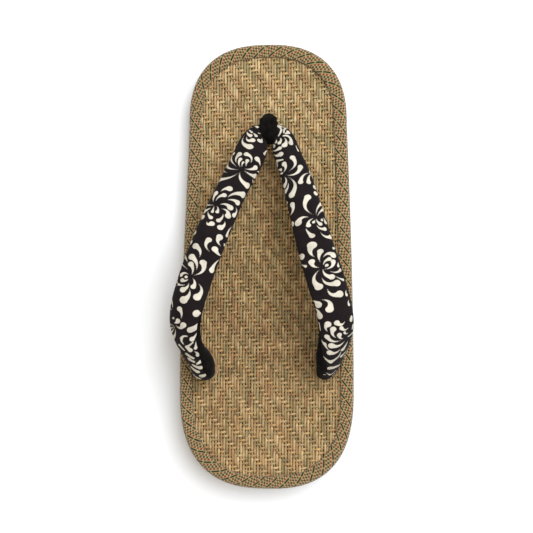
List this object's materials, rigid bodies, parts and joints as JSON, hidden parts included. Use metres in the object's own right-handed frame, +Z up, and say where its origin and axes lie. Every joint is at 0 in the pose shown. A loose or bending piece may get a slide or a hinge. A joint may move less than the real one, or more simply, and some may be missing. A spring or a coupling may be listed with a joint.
{
  "type": "zori sandal",
  "caption": "Flat sandal with a woven rush footbed bound in cloth tape, a wedge foam sole with a rubber outsole, and a padded thong strap held by a toe post.",
  "frame": {"origin": "on the floor below the middle of the sandal's length and width", "axes": "+Z up, toe toward -Y, heel toward +Y, +X across"},
  "size_m": [0.102, 0.2598, 0.0686],
  "materials": {
    "outsole_rubber": "matte moulded",
    "midsole_foam": "fine matte foam",
    "woven_rush": "dry woven rush",
    "binding_cloth": "twilled striped tape",
    "strap_cloth": "printed cotton over padding",
    "velour": "short black pile"
  },
  "bodies": {
    "root": {"outsole": "outsole_rubber", "midsole": "midsole_foam", "mat": "woven_rush", "binding": "binding_cloth", "strap": "strap_cloth", "toe_post": "velour"}
  },
  "joints": []
}
